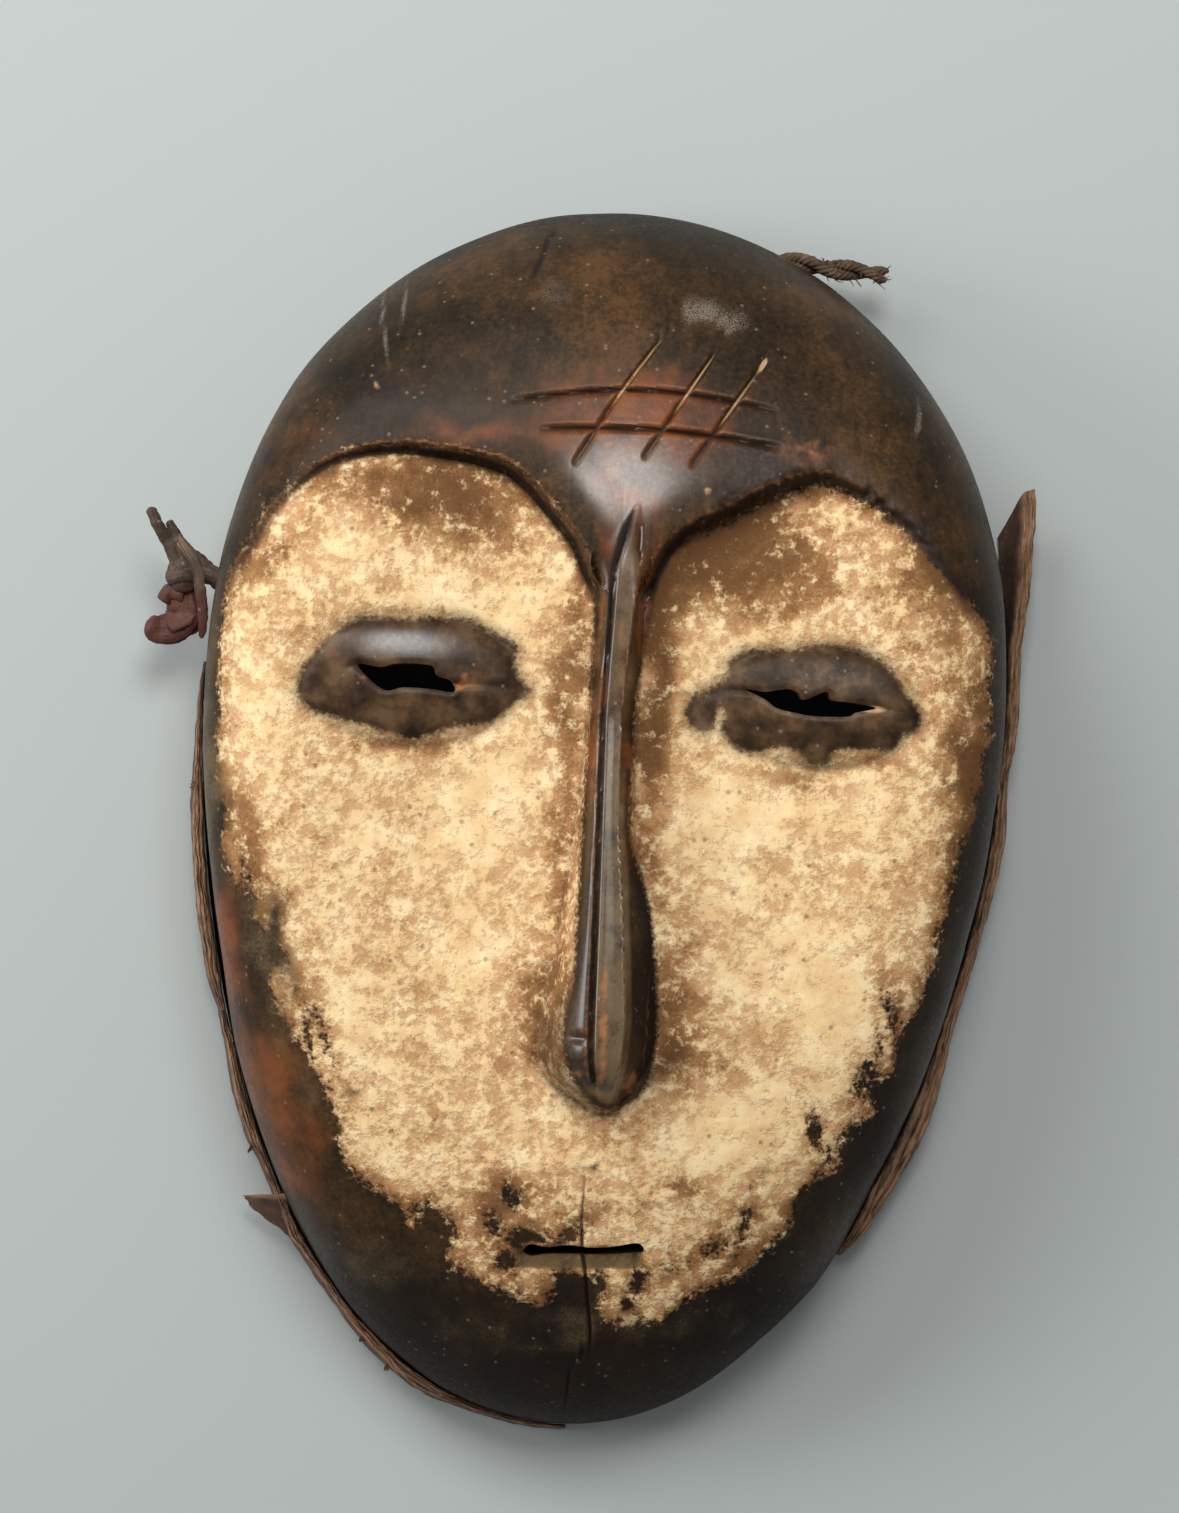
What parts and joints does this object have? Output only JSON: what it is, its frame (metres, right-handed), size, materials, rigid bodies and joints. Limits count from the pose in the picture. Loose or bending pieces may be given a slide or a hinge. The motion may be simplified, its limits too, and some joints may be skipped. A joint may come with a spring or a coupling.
{
  "type": "carved wooden face mask",
  "caption": "Hollow carved wooden face mask with a domed forehead, a whitened heart-shaped face with slit eyes and mouth, and torn remains of hide and cord round its rim.",
  "frame": {"origin": "on the plane of the flat rim, under the middle of the whole object's box, with the mask lying face up", "axes": "+X to the right of the face as it is seen, +Y from the chin to the forehead, +Z out of the face"},
  "size_m": [0.1842, 0.2566, 0.0678],
  "materials": {
    "carved_wood": "dark handled wood with a low sheen, its face whitened with worn kaolin",
    "dried_hide": "dry cracked rawhide, matt",
    "twisted_fibre": "rough plant fibre cord, matt"
  },
  "bodies": {
    "root": {"mask": "carved_wood", "hide_band_right": "dried_hide", "hide_band_left": "dried_hide", "hide_band_chin": "dried_hide", "tie_left": "dried_hide", "tie_top": "twisted_fibre"}
  },
  "joints": []
}
